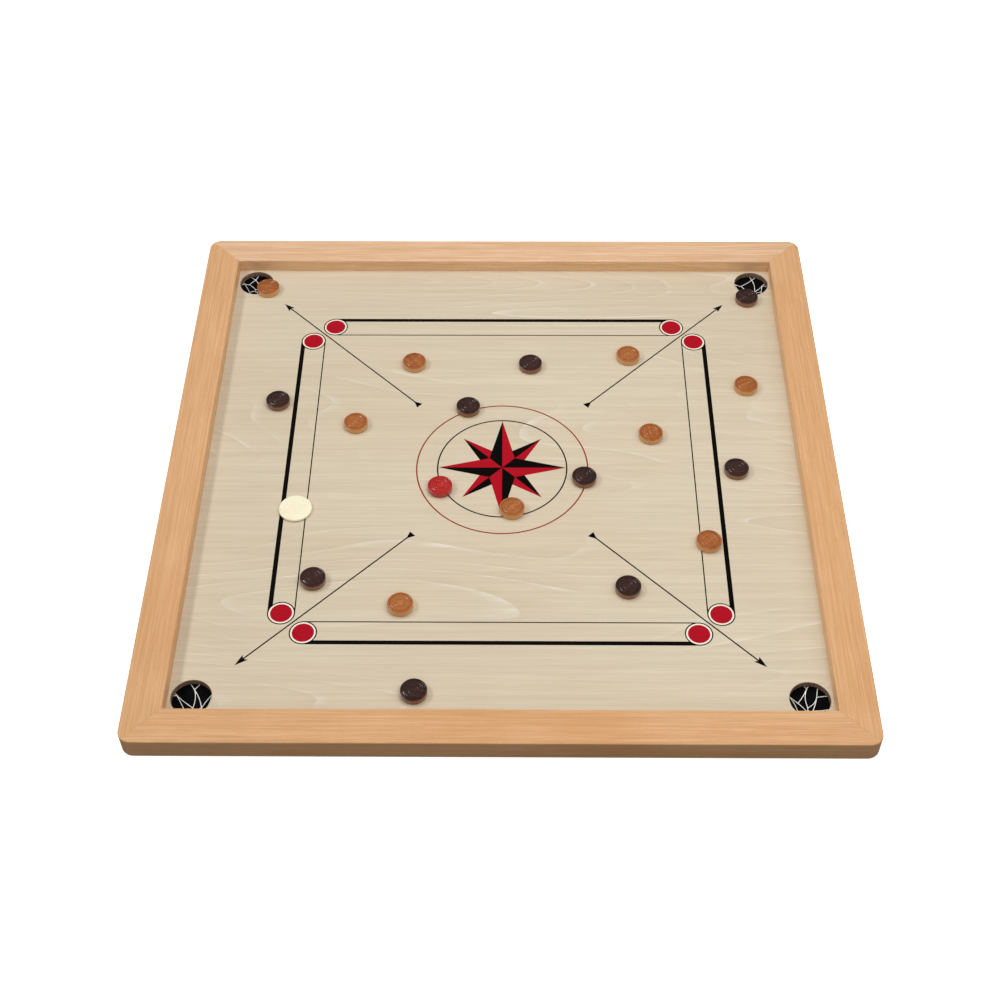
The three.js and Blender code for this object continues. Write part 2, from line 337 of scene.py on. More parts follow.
def playing_face():
    look = Look("varnished_ply")
    grain = look.attribute("grain")
    colour, fibre = figured_ply(look, grain, tone("d9cdb5"), tone("d4c6ad"), tone("bcab90"))
    rough = look.math("ADD", look.math("MULTIPLY", fibre, 0.12), 0.36)
    look.bump(fibre, 0.012, 0.5)
    return look.finish(Base_Color=colour, Roughness=rough, Specular_IOR_Level=0.4)


def raw_ply():
    look = Look("raw_ply")
    grain = look.attribute("grain")
    colour, fibre = figured_ply(look, grain, tone("d2bd98"), tone("c6ad86"), tone("a88a62"))
    look.bump(fibre, 0.05, 0.7)
    return look.finish(Base_Color=colour, Roughness=0.72)


def dark_pocket_wall():
    """Dark brown wall of a pocket, with the plies just showing through."""
    ply = 1.6 * MM
    look = Look("dark_ply_edge")
    place = look.attribute("grain")
    height = look.node("SeparateXYZ", Vector=place).outputs["Z"]
    plies = look.math("SINE", look.math("MULTIPLY", height, 2 * math.pi / ply))
    mottle = look.noise(look.scaled(place, (320, 320, 900)), 1.0, 3, 0.6)
    blend = look.math("ADD", look.math("MULTIPLY", plies, 0.18), mottle)
    # The pocket wall is coloured dark brown, with the plies just showing.
    colour = look.ramp(blend, (0.35, tone("624c3e")), (0.6, tone("8a7260")), (0.85, tone("aa927c")))
    look.bump(blend, 0.08, 0.6)
    return look.finish(Base_Color=colour, Roughness=0.6)


def turned_wood(name, deep, mid, pale, side_highlight):
    """Lacquered turned wood with fibre across the disc, a rim wall painted lighter as painted light,
    and groove rings painted darker as painted shade.
    """
    look = Look(name)
    place = look.attribute("grain")
    shade_value = look.attribute("tone", "Fac")
    figure = look.noise(look.scaled(place, (45, 420, 420)), 1.0, 4, 0.6, 0.4)
    pores = look.noise(look.scaled(place, (260, 2600, 2600)), 1.0, 2, 0.6)
    wood = look.ramp(figure, (0.32, deep), (0.5, mid), (0.68, pale))
    pored = look.mix(look.ramp(pores, (0.6, 0.0), (0.72, 0.45)), wood, deep)
    shaded = look.mix(shade_value, pored, pale)
    side = look.attribute("side", "Fac")
    # Painted light: the rim wall is mixed towards a lighter colour, standing in for light reflected
    # onto it from the panel.
    lit = look.mix(look.math("MULTIPLY", side, side_highlight[0]), shaded, side_highlight[1])
    # Painted shade: the groove rings are mixed towards the deep tone.
    groove_shaded = look.mix(look.attribute("groove", "Fac"), lit, deep)
    look.bump(look.math("ADD", figure, pores), 0.02, 0.5)
    return look.finish(Base_Color=groove_shaded, Roughness=0.5, Specular_IOR_Level=0.1,
                       Coat_Weight=1.0, Coat_Roughness=0.06)


def ivory_resin():
    look = Look("ivory_resin")
    place = look.attribute("grain")
    cloud = look.noise(look.scaled(place, (90, 90, 90)), 1.0, 4, 0.55, 0.8)
    scuff = look.noise(look.scaled(place, (900, 300, 300)), 1.0, 3, 0.7)
    colour = look.ramp(cloud, (0.3, tone("f2e8c6")), (0.7, tone("f8f1d6")))
    rough = look.math("ADD", look.math("MULTIPLY", scuff, 0.2), 0.16)
    look.bump(scuff, 0.006, 0.4)
    return look.finish(Base_Color=colour, Roughness=rough, Coat_Weight=0.3,
                       Subsurface_Weight=0.15, Subsurface_Scale=0.002)


def ink(name, dense, thin):
    """Screen-printed ink: a touch thinner where the fibre stands proud."""
    look = Look(name)
    place = look.attribute("grain")
    fibre = look.noise(look.scaled(place, (40, 700, 700)), 1.0, 4, 0.65)
    colour = look.mix(look.ramp(fibre, (0.55, 0.0), (0.8, 0.6)), dense, thin)
    rough = look.math("ADD", look.math("MULTIPLY", fibre, 0.15), 0.4)
    look.bump(fibre, 0.01, 0.5)
    return look.finish(Base_Color=colour, Roughness=rough, Specular_IOR_Level=0.08)


def cotton_cord():
    look = Look("cotton_cord")
    place = look.attribute("grain")
    twist = look.noise(look.scaled(place, (1500, 1500, 1500)), 1.0, 3, 0.6)
    colour = look.ramp(twist, (0.3, tone("ebeae4")), (0.7, tone("fefefb")))
    look.bump(twist, 0.15, 0.8)
    return look.finish(Base_Color=colour, Roughness=0.85, Sheen_Weight=0.3)


# Painted shade: a near-black woven sheet that stands in for the dark space seen through each pocket.
def painted_shade_sheet():
    look = Look("painted_shade_sheet")
    place = look.attribute("grain")
    warp = look.node("TexWave", Vector=look.scaled(place, (1, 1, 1)), Scale=420.0).outputs["Fac"]
    weft_place = look.node("VectorRotate", Vector=place, Angle=QUARTER).outputs["Vector"]
    weft = look.node("TexWave", Vector=weft_place, Scale=420.0).outputs["Fac"]
    weave = look.math("MULTIPLY", warp, weft)
    lint = look.noise(look.scaled(place, (240, 240, 240)), 1.0, 4, 0.7)
    colour = look.ramp(look.math("ADD", look.math("MULTIPLY", weave, 0.3), lint),
                       (0.3, tone("030303")), (0.9, tone("101011")))
    look.bump(weave, 0.12, 0.8)
    return look.finish(Base_Color=colour, Roughness=0.95, Specular_IOR_Level=0.1)


def drawn_steel():
    look = Look("drawn_steel")
    place = look.attribute("grain")
    marks = look.noise(look.scaled(place, (2500, 2500, 600)), 1.0, 3, 0.6)
    colour = look.ramp(marks, (0.3, tone("8d8d8a")), (0.7, tone("c9c9c5")))
    rough = look.math("ADD", look.math("MULTIPLY", marks, 0.25), 0.22)
    look.bump(marks, 0.01, 0.5)
    return look.finish(Base_Color=colour, Metallic=0.95, Roughness=rough)


# ----------------------------------------------------------------------- rails

EDGE_R = 1.5
EDGE_STEPS = 6
CORNER_R = 15.0
CORNER_STEPS = 14
RAIL_STEPS = 12
MITRE_GAP = 0.12
ARRIS = 0.25
# How far the wood of each rail goes towards its palest tone, and how far its cushion face is painted
# lighter, as painted light
RAIL_PALENESS = (0.06, 0.0, 0.85, 0.05)
CUSHION_FACE_LIGHT = (0.9, 0.9, 1.0, 0.5)


def rail_profile():
    """Rail section as (distance outward from the cushion face, height), all round."""
    width = OUTER - INNER
    points = [(REBATE_W, 0), (REBATE_W, SURFACE_Z), (0, SURFACE_Z)]
    rounds = (
        (EDGE_R, FRAME_H - EDGE_R, math.pi),
        (width - EDGE_R, FRAME_H - EDGE_R, QUARTER),
        (width - EDGE_R, EDGE_R, 0.0),
    )
    for across, height, start in rounds:
        for step in range(EDGE_STEPS + 1):
            angle = start - QUARTER * step / EDGE_STEPS
            points.append((across + EDGE_R * math.cos(angle), height + EDGE_R * math.sin(angle)))
    return points


def rail_path(across):
    """Plan line of the near rail at one distance out, mitre to mitre, round both corners."""
    flat = OUTER - INNER - CORNER_R
    radius = max(across - flat, 0)
    centre = INNER + min(across, flat)
    path = []
    for step in range(CORNER_STEPS + 1):
        angle = QUARTER / 2 * (1 + step / CORNER_STEPS)
        path.append((-centre - radius * math.cos(angle), -centre - radius * math.sin(angle)))
    path[0] = (path[0][0] + MITRE_GAP / 2, path[0][1])
    middle = [(-centre + 2 * centre * step / RAIL_STEPS, path[-1][1])
              for step in range(1, RAIL_STEPS)]
    return path + middle + [(-x, y) for x, y in reversed(path)]


def rail_mesh(name, face_light):
    """The near rail; its vertices on the cushion face carry how far that face is painted lighter, as
    painted light.
    """
    points = []
    profile = rail_profile()
    for across, height in profile:
        points += [(x, y, height) for x, y in rail_path(across)]
    length = len(points) // len(profile)
    faces = []
    for row in range(len(profile)):
        after = (row + 1) % len(profile)
        for step in range(length - 1):
            near = row * length + step
            far = after * length + step
            faces.append((near, near + 1, far + 1, far))
    faces.append(tuple(row * length for row in range(len(profile))))
    faces.append(tuple(row * length + length - 1 for row in reversed(range(len(profile)))))
    mesh = mesh_from(name, points, faces, math.radians(32))
    face = -(INNER + 0.01) * MM
    # Painted light: how far each vertex on the cushion face is painted lighter.
    store_numbers(mesh, "cushion", [face_light * (vertex.co.y > face) for vertex in mesh.vertices])
    return mesh


def build_rails():
    wood = beech()
    for turn, (side, paleness) in enumerate(zip(SIDES, RAIL_PALENESS)):
        name = f"rail_{side}_wood"
        mesh = rail_mesh(name, CUSHION_FACE_LIGHT[turn])
        store_grain(mesh, Matrix.Identity(3), (1.7 * turn, 0.31 * turn, 0.13 * turn))
        store_numbers(mesh, "tone", [paleness] * len(mesh.vertices))
        mesh.transform(Matrix.Rotation(turn * QUARTER, 4, "Z"))
        obj = new_object(name, mesh, [wood], "board", [f"rail_{side}"])
        add_bevel(obj, ARRIS)


# ----------------------------------------------------------------------- panel

QUADRANTS = ((-1, -1), (1, -1), (1, 1), (-1, 1))
HOLE_SEGMENTS = 128
PANEL_ROUND = 0.45
PANEL_ROUND_STEPS = 3
VARNISHED, RAW, DARK_WALL = range(3)


def plan_loops(inset):
    """Plan outline of the panel and of its four holes, all stepped back by one inset."""
    half = PANEL_HALF - inset
    radius = POCKET_R + inset
    loops = [[(x * half, y * half) for x, y in QUADRANTS]]
    for x, y in QUADRANTS:
        hole_x, hole_y = x * POCKET_CENTRE, y * POCKET_CENTRE
        angles = [2 * math.pi * step / HOLE_SEGMENTS for step in range(HOLE_SEGMENTS)]
        loops.append([(hole_x + radius * math.cos(a), hole_y + radius * math.sin(a)) for a in angles])
    return loops


def panel_rows():
    """(inset, height) steps down the panel's edges, softly rounded above and below."""
    angles = [QUARTER * step / PANEL_ROUND_STEPS for step in range(PANEL_ROUND_STEPS + 1)]
    insets = [PANEL_ROUND * (1 - math.sin(a)) for a in angles]
    drops = [PANEL_ROUND * (1 - math.cos(a)) for a in angles]
    upper = [(inset, SURFACE_Z - drop) for inset, drop in zip(insets, drops)]
    return upper + [(inset, UNDERSIDE_Z + drop) for inset, drop in zip(insets[::-1], drops[::-1])]


def panel_mesh(name):
    """A flat plate with four round holes: two filled faces joined by rows of wall faces."""
    rows = panel_rows()
    points = []
    for inset, z in rows:
        points += [(x, y, z) for loop in plan_loops(inset) for x, y in loop]
    loops = plan_loops(rows[0][0])
    fill = tessellate_polygon([[Vector((x, y, 0)) for x, y in loop] for loop in loops])
    count = sum(len(loop) for loop in loops)
    last = count * (len(rows) - 1)
    faces = [tuple(face) for face in fill]
    faces += [tuple(last + index for index in face) for face in fill]
    for row in range(len(rows) - 1):
        start = row * count
        for loop in loops:
            for step in range(len(loop)):
                here, after = start + step, start + (step + 1) % len(loop)
                faces.append((here, after, after + count, here + count))
            start += len(loop)
    return mesh_from(name, points, faces, math.radians(40))


def paint_panel(mesh):
    """Varnish on top, bare ply below, dark brown on the pocket walls."""
    for face in mesh.polygons:
        face.use_smooth = abs(face.normal.z) < 0.999
        at_edge = max(abs(face.center.x), abs(face.center.y)) > (PANEL_HALF - 1) * MM
        if face.use_smooth:
            face.material_index = RAW if at_edge else DARK_WALL
        else:
            face.material_index = VARNISHED if face.normal.z > 0 else RAW


def build_panel():
    mesh = panel_mesh("playing_panel_ply")
    paint_panel(mesh)
    store_grain(mesh, Matrix.Identity(3), (0.6, 0.25, 0))
    looks = [playing_face(), raw_ply(), dark_pocket_wall()]
    new_object("playing_panel_ply", mesh, looks, "board", ["playing_panel"])


# ------------------------------------------------------------- printed markings

# Line widths, radii and distances from the board's centre, in plan
PRINT_T = 0.03
CIRCLE_SEGMENTS = 256
BASE_ROWS = 8
BASE_THICK = 5.6
BASE_OUTER = 271.5
BASE_INNER = 238.9
THIN = 1.45
RING_LINE = 1.75
BASE_CIRCLE_X = 227.4
BASE_CIRCLE_Y = 255.2
RING_OUTER = 16.3
RING_INNER = 14.8
DISC_R = 12.8
CENTRE_RING_R = 80.8
OUTER_RING_R = 107.0
STAR_LONG = 79.6
STAR_SHORT = 49.0
STAR_WAIST = 16.0
STAR_SHOULDER = (12.6, 28.0)
ARROW_FROM = 152.0
ARROW_TO = 425.5
ARROW_LINE = 1.75
ARROW_HEAD = 15.5
ARROW_HEAD_W = 9.4
ARROW_NOTCH = 12.5
ARROW_TAIL = 10.5
ARROW_TAIL_W = 9.4


def turned_flat(points, turns, eighths=False):
    """Points turned about the board's centre by quarter turns, or by eighths of a turn."""
    angle = turns * (QUARTER / 2 if eighths else QUARTER)
    c, s = math.cos(angle), math.sin(angle)
    return [(x * c - y * s, x * s + y * c) for x, y in points]


def ring_flat(x, y, inner, outer, count=128):
    """A flat ring as four-cornered tiles; an inner radius of 0 gives a disc."""
    tiles = []
    for step in range(count):
        first = 2 * math.pi * step / count
        second = 2 * math.pi * (step + 1) / count
        edge = [(x + outer * math.cos(a), y + outer * math.sin(a)) for a in (first, second)]
        if inner:
            edge += [(x + inner * math.cos(a), y + inner * math.sin(a)) for a in (second, first)]
        else:
            edge.append((x, y))
        tiles.append(edge)
    return tiles


def centre_circle(radius):
    return ring_flat(0, 0, radius - RING_LINE / 2, radius + RING_LINE / 2, CIRCLE_SEGMENTS)


def print_mesh(name, tiles):
    """Flat tiles raised to a thin film of ink on the playing surface."""
    build = bmesh.new()
    for tile in tiles:
        corners = [build.verts.new(Vector((x, y, SURFACE_Z)) * MM) for x, y in tile]
        build.faces.new(corners)
    bmesh.ops.remove_doubles(build, verts=build.verts, dist=1e-7)
    bmesh.ops.recalc_face_normals(build, faces=build.faces)
    grown = bmesh.ops.extrude_face_region(build, geom=list(build.faces))
    risen = [item for item in grown["geom"] if isinstance(item, bmesh.types.BMVert)]
    bmesh.ops.translate(build, verts=risen, vec=(0, 0, PRINT_T * MM))
    bmesh.ops.recalc_face_normals(build, faces=build.faces)
    mesh = bpy.data.meshes.new(name)
    build.to_mesh(mesh)
    build.free()
    return mesh


def half_chord(radius, offset):
    return math.sqrt(max(radius ** 2 - offset ** 2, 0))


def base_circle_centres():
    places = []
    for turn in range(4):
        for side in (-1, 1):
            places += turned_flat([(side * BASE_CIRCLE_X, -BASE_CIRCLE_Y)], turn)
    return places


def base_line_tiles():
    """Thick outer and thin inner base line on each side, each ending on the base circles."""
    tiles = []
    for low, width in ((BASE_OUTER - BASE_THICK, BASE_THICK), (BASE_INNER, THIN)):
        heights = [low + width * row / BASE_ROWS for row in range(BASE_ROWS + 1)]
        ends = [BASE_CIRCLE_X - half_chord(RING_OUTER, y - BASE_CIRCLE_Y) for y in heights]
        for row in range(BASE_ROWS):
            near, far = (ends[row], -heights[row]), (ends[row + 1], -heights[row + 1])
            strip = [(-near[0], near[1]), near, far, (-far[0], far[1])]
            tiles += [turned_flat(strip, turn) for turn in range(4)]
    return tiles


def arrow_tiles():
    """Diagonal arrows: a flared tail near the centre and a barbed head near the pocket."""
    half = ARROW_LINE / 2
    shaft = [(ARROW_FROM + 2, -half), (ARROW_TO - ARROW_NOTCH + 1, -half),
             (ARROW_TO - ARROW_NOTCH + 1, half), (ARROW_FROM + 2, half)]
    tail = [(ARROW_FROM, -ARROW_TAIL_W / 2), (ARROW_FROM + ARROW_TAIL, 0),
            (ARROW_FROM, ARROW_TAIL_W / 2)]
    barb = ARROW_TO - ARROW_HEAD
    notch = ARROW_TO - ARROW_NOTCH
    upper = [(ARROW_TO, 0), (barb, ARROW_HEAD_W / 2), (notch, 0)]
    lower = [(ARROW_TO, 0), (notch, 0), (barb, -ARROW_HEAD_W / 2)]
    tiles = []
    for turn in (1, 3, 5, 7):
        tiles += [turned_flat(part, turn, True) for part in (shaft, tail, upper, lower)]
    return tiles


def star_tiles(black):
    """Eight-pointed compass star: each point has a black half and a red half."""
    waist = (STAR_WAIST, STAR_WAIST)
    if black:
        long_half = [(0, STAR_LONG), (-STAR_WAIST, STAR_WAIST), (0, 0)]
        short_half = [(STAR_SHORT, STAR_SHORT), STAR_SHOULDER, waist]
    else:
        long_half = [(0, STAR_LONG), (0, 0), waist]
        short_half = [(STAR_SHORT, STAR_SHORT), waist, STAR_SHOULDER[::-1]]
    tiles = []
    for turn in range(4):
        tiles += [turned_flat(long_half, turn), turned_flat(short_half, turn)]
    return tiles


def build_print():
    circles = base_circle_centres()
    black = arrow_tiles() + star_tiles(True) + base_line_tiles()
    black += centre_circle(CENTRE_RING_R)
    red = star_tiles(False)
    cream = []
    for x, y in circles:
        black += ring_flat(x, y, RING_INNER, RING_OUTER)
        cream += ring_flat(x, y, DISC_R, RING_INNER)
        red += ring_flat(x, y, 0, DISC_R)
    outer = centre_circle(OUTER_RING_R)
    layers = (
        ("print_black", black, ink("black_ink", tone("080504"), tone("1a130c"))),
        ("print_red", red, ink("red_ink", tone("a90f20"), tone("b42236"))),
        ("print_cream", cream, ink("cream_ink", tone("efe5d3"), tone("e2d5be"))),
        ("print_outer_ring", outer, ink("brick_ink", tone("8e2a1e"), tone("a04636"))),
    )
    for name, tiles, look in layers:
        mesh = print_mesh(name, tiles)
        store_grain(mesh, Matrix.Identity(3))
        new_object(name, mesh, [look], "board")


# --------------------------------------------------------------------- pockets

CORD_R = 0.48
RIM_R = 27.6
KNOT_R = 0.75
# Half angle between the two legs of an outer knot, in radians for each millimetre to the rim
LEG_SPREAD = 0.024
DRAW_RING_R = 2.6
NET_SEED = 40
LINING_RINGS = 26
LINING_SPOKES = 120
LINING_T = 0.25
LINING_FOLD = 0.25
LINING_WAVER = 0.012
# The slack net in each pocket, in millimetres from the hole's centre: five outer knots tied to
# the rim, five inner knots that each join the outer knot before and the one after, and the
# draw ring that gathers the bottom of the bag.
NETS = {
    "front_right": (
        ((-0.5, 19.5), (9.5, 8.5), (19.5, -8.0), (-3.0, -20.5), (-20.5, 8.5)),
        ((-2.0, -5.5), (3.0, -9.5), (8.5, -17.5), (-13.0, -14.5), (-12.5, 0.5)),
        (-2.5, -12.0),
    ),
    "back_right": (
        ((4.0, 17.5), (17.3, 5.7), (10.5, -19.5), (-12.0, -19.0), (-20.5, 8.5)),
        ((5.8, -6.6), (14.7, -7.2), (0.0, -18.5), (-15.5, -6.5), (-12.6, 4.4)),
        (-0.5, -12.5),
    ),
    "back_left": (
        ((-4.3, 16.0), (16.5, 11.0), (14.5, -14.5), (-8.5, -20.0), (-19.5, 7.5)),
        ((4.0, 4.5), (12.0, -4.0), (2.5, -15.5), (-10.7, -9.6), (-12.2, 6.2)),
        (-0.5, -6.5),
    ),
    "front_left": (
        ((-18.5, 8.0), (0.5, 15.5), (20.5, 8.6), (13.0, -18.0), (-13.5, -18.0)),
        ((1.7, -8.6), (11.4, -8.6), (17.0, -9.0), (0.0, -20.0), (-7.2, -12.0)),
        (3.0, -14.5),
    ),
}


def bent(start, end, sag, steps=7):
    """Points from start to end in plan, bowed sideways by sag millimetres."""
    start, end = Vector(start), Vector(end)
    along = end - start
    side = Vector((-along.y, along.x)).normalized()
    return [start + along * (i / steps) + side * (sag * math.sin(math.pi * i / steps))
            for i in range(steps + 1)]


def circle_line(centre, radius, steps):
    angles = [2 * math.pi * i / steps for i in range(steps + 1)]
    return [Vector(centre) + Vector((math.cos(a), math.sin(a))) * radius for a in angles]


def net_paths(outer, inner, gather, draw, z):
    """All the cords of one net: legs to the rim, diamonds between knots, a gathered centre."""
    plan = []
    for knot in outer:
        angle = math.atan2(knot[1], knot[0])
        spread = LEG_SPREAD * (RIM_R - math.hypot(*knot))
        for end in (angle - spread, angle + spread):
            rim = (RIM_R * math.cos(end), RIM_R * math.sin(end))
            plan.append(bent(rim, knot, draw.uniform(-0.4, 0.4)))
    for index, knot in enumerate(inner):
        after = outer[(index + 1) % len(outer)]
        reach = (Vector(outer[index]) - Vector(knot)).length
        plan.append(bent(outer[index], knot, draw.uniform(-0.1, 0.1) * reach))
        plan.append(bent(after, knot, draw.uniform(-0.1, 0.1) * reach))
        hook = Vector(gather) + (Vector(knot) - Vector(gather)).normalized() * DRAW_RING_R
        plan.append(bent(knot, hook, draw.uniform(-0.5, 0.5)))
    plan += [circle_line((0, 0), RIM_R, 72), circle_line(gather, DRAW_RING_R, 18)]
    return [[(p.x, p.y, z) for p in line] for line in plan]


def knot_points(centre, radius, z):
    """A small flattened ball for one knot."""
    profile = [(radius * math.sin(a), -radius * 0.8 * math.cos(a))
               for a in (math.pi * i / 6 for i in range(7))]
    profile[0] = (0, profile[0][1])
    profile[-1] = (0, profile[-1][1])
    points, faces = turned_points(profile, 10)
    return [(x + centre[0], y + centre[1], h + z) for x, y, h in points], faces


def join_meshes(name, first, others):
    build = bmesh.new()
    build.from_mesh(first)
    for mesh in others:
        build.from_mesh(mesh)
    build.to_mesh(first)
    build.free()
    first.name = name
    first.shade_smooth()
    return first


def build_net(corner, index, cord):
    low, high = cad_box(f"pocket_net_{corner}")
    centre = (low + high) / 2
    draw = random.Random(NET_SEED + index)
    outer, inner, gather = NETS[corner]
    z = high.z - CORD_R
    cords = tube_mesh("cords", net_paths(outer, inner, gather, draw, z), CORD_R)
    knots = [mesh_from("knot", *knot_points(place, KNOT_R, z)) for place in outer + inner]
    mesh = join_meshes(f"net_{corner}", cords, knots)
    store_grain(mesh, Matrix.Identity(3))
    mesh.transform(Matrix.Translation(Vector((centre.x, centre.y, 0)) * MM))
    new_object(f"net_{corner}", mesh, [cord], "board", [f"pocket_net_{corner}"])


def lining_height(angle, share, index):
    """Rise of the cloth's folds at one angle and share of the radius, flat at centre and edge."""
    fold = math.sin(9 * angle + 5 * share + index) * 0.5
    fold += math.sin(23 * angle - 7 * share + 2 * index) * 0.3
    return LINING_FOLD * fold * math.sin(math.pi * min(share * 1.1, 1))


def lining_points(radius, base, index):
    """Two layers of rings and spokes, with an edge that wavers a little."""
    points = []
    for layer in (0, 1):
        for ring in range(LINING_RINGS + 1):
            share = ring / LINING_RINGS
            for spoke in range(LINING_SPOKES):
                angle = 2 * math.pi * spoke / LINING_SPOKES
                waver = LINING_WAVER * (1 + math.sin(31 * angle)) * share
                edge = radius * share * (1 - waver)
                height = base + lining_height(angle, share, index) + layer * LINING_T
                points.append((edge * math.cos(angle), edge * math.sin(angle), height))
    return points


def lining_faces():
    """Faces of both layers, and the band that closes them at the edge."""
    faces = []
    count = (LINING_RINGS + 1) * LINING_SPOKES
    last = LINING_RINGS * LINING_SPOKES
    for layer in (0, 1):
        for ring in range(LINING_RINGS):
            inner = layer * count + ring * LINING_SPOKES
            outer = inner + LINING_SPOKES
            for spoke in range(LINING_SPOKES):
                after = (spoke + 1) % LINING_SPOKES
                faces.append((inner + spoke, inner + after, outer + after, outer + spoke))
    for spoke in range(LINING_SPOKES):
        after = (spoke + 1) % LINING_SPOKES
        faces.append((last + spoke, last + after, count + last + after, count + last + spoke))
    return faces


def build_shade_lining(corner, index, shade_sheet):
    """Black sheet in soft radial folds below the net, painted shade standing in for the dark space
    under the pocket.
    """
    name = f"lining_{corner}"
    node = f"pocket_lining_{corner}"
    low, high = cad_box(node)
    centre = (low + high) / 2
    points = lining_points((high.x - low.x) / 2, low.z, index)
    mesh = mesh_from(name, points, lining_faces(), math.radians(80))
    store_grain(mesh, Matrix.Identity(3))
    mesh.transform(Matrix.Translation(Vector((centre.x, centre.y, 0)) * MM))
    new_object(name, mesh, [shade_sheet], "board", [node])


def build_pockets():
    cord, shade_sheet = cotton_cord(), painted_shade_sheet()
    for index, corner in enumerate(CORNERS):
        build_net(corner, index, cord)
        build_shade_lining(corner, index, shade_sheet)


# ------------------------------------------------------------------- fasteners

WIRE_R = 0.33
STAPLES = 3
STAPLE_HALF = 3.1
STAPLE_BEND = 0.8
BEND_STEPS = 6
PIN_R = 0.8
PIN_COLLAR_R = 1.8
PIN_POINT = 1.5
# (radius, rise above the lowest point) over the pin's domed head
PIN_HEAD = ((0, 0), (1.0, 0.03), (1.7, 0.16), (1.9, 0.4))


def staple_leg(crown, top):
    """(distance from the middle, height) down one leg and round its bend to the crown."""
    half = STAPLE_HALF - WIRE_R
    leg = [(half, top), (half, crown + STAPLE_BEND)]
    for step in range(1, BEND_STEPS):
        angle = QUARTER * step / BEND_STEPS
        across = half - STAPLE_BEND * (1 - math.cos(angle))
        leg.append((across, crown + STAPLE_BEND * (1 - math.sin(angle))))
    leg.append((half - STAPLE_BEND, crown))
    return leg


def build_staple(corner, number, steel):
    """Round wire bent to a staple, crown below and both legs up into the panel."""
    node = f"net_staple_{corner}_{number}"
    low, high = cad_box(node)
    pocket = cad_centre(f"pocket_net_{corner}")
    centre = (low + high) / 2
    outward = Vector((centre.x - pocket.x, centre.y - pocket.y, 0)).normalized()
    leg = staple_leg(low.z + WIRE_R, high.z)
    path = []
    for side in (-1, 1):
        points = [(centre.x + side * x * outward.x, centre.y + side * x * outward.y, z)
                  for x, z in leg]
        path += points if side < 0 else points[::-1]
    mesh = tube_mesh(node, [path], WIRE_R)
    store_grain(mesh, Matrix.Identity(3))
    new_object(node + "_wire", mesh, [steel], "board", [node])


def build_pin(side, number, steel):
    """Steel pin driven up from below, its head against the underside of the panel."""
    node = f"panel_pin_{side}_{number}"
    low, high = cad_box(node)
    centre = (low + high) / 2
    profile = [(radius, low.z + rise) for radius, rise in PIN_HEAD]
    profile += [(PIN_COLLAR_R, UNDERSIDE_Z), (PIN_R, UNDERSIDE_Z)]
    profile += [(PIN_R, high.z - PIN_POINT), (0, high.z)]
    points, faces = turned_points(profile, 24)
    points = [(x + centre.x, y + centre.y, z) for x, y, z in points]
    mesh = mesh_from(node, points, faces)
    store_grain(mesh, Matrix.Identity(3))
    new_object(node + "_steel", mesh, [steel], "board", [node])


def build_fasteners():
    steel = drawn_steel()
    for corner in CORNERS:
        for number in range(1, STAPLES + 1):
            build_staple(corner, number, steel)
    for side in SIDES:
        for number in (1, 2):
            build_pin(side, number, steel)


def finish_splines():
    """The splines stay as the frame has them: plain birch keys hidden in the mitres."""
    wood = raw_ply()
    for corner in CORNERS:
        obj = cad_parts[f"mitre_spline_{corner}"]
        store_grain(obj.data, Matrix.Rotation(QUARTER / 2, 3, "Z"))
        obj.data.materials.clear()
        obj.data.materials.append(wood)


# -------------------------------------------------------------- playing pieces

MAN_SEGMENTS = 96
# (radius, height below the highest point) from the centre out: flat button, inner ridge,
# flat field, outer ridge, cut line, rim and crisp shoulder
MAN_TOP = (
    (0, 0.55), (2.2, 0.55), (4.0, 0.55), (4.6, 0.46), (5.0, 0.16), (5.4, 0), (5.8, 0.16),
    (6.2, 0.46), (6.8, 0.55), (9.0, 0.55), (9.5, 0.46), (9.9, 0.16), (10.3, 0), (10.7, 0.16),
    (11.1, 0.46),
    (11.6, 0.6), (12.3, 0.85), (12.9, 0.85), (13.4, 0.3), (13.8, 0.05), (14.2, 0),
    (14.7, 0.14), (15.1, 0.5), (15.25, 1.0),
)
MAN_SIDE = ((15.25, 4.2), (15.25, 6.6), (15.05, 7.5), (14.5, 8.05), (13.9, 8.2))
RIM_FROM = 14.4
SIDE_FROM = 0.5
SIDE_FADE = 0.7
TOP_DEPTH = 2
# How dark the groove rings are painted: painted shade.
GROOVE_SHADE = 0.85
# (radius, half width) of the rings painted darker as shade, at the feet of the ridges and in the dip
# inside the rim
MAN_GROOVES = ((4.4, 0.6), (6.6, 0.6), (9.3, 0.6), (11.5, 0.6), (12.65, 0.9))
# Lightness of each light man and each dark man, 0 as the base tone and 1 as the palest
LIGHT_TONES = (0.0, 0.15, 0.55, 0.2, 0.4, 0.1, 0.35, 0.7, 0.15)
DARK_TONES = (0.0, 0.3, 0.1, 0.0, 0.05, 0.2, 0.3, 0.05, 0.1)


def man_profile(height):
    """Outline of a man as (radius, height), from the middle of its top to that of its foot."""
    top = smooth_profile(list(MAN_TOP), 3)
    side = smooth_profile([MAN_TOP[-1], *MAN_SIDE], 3)[1:]
    outline = [(radius, height - drop) for radius, drop in top + side]
    return outline + [(0, 0)]


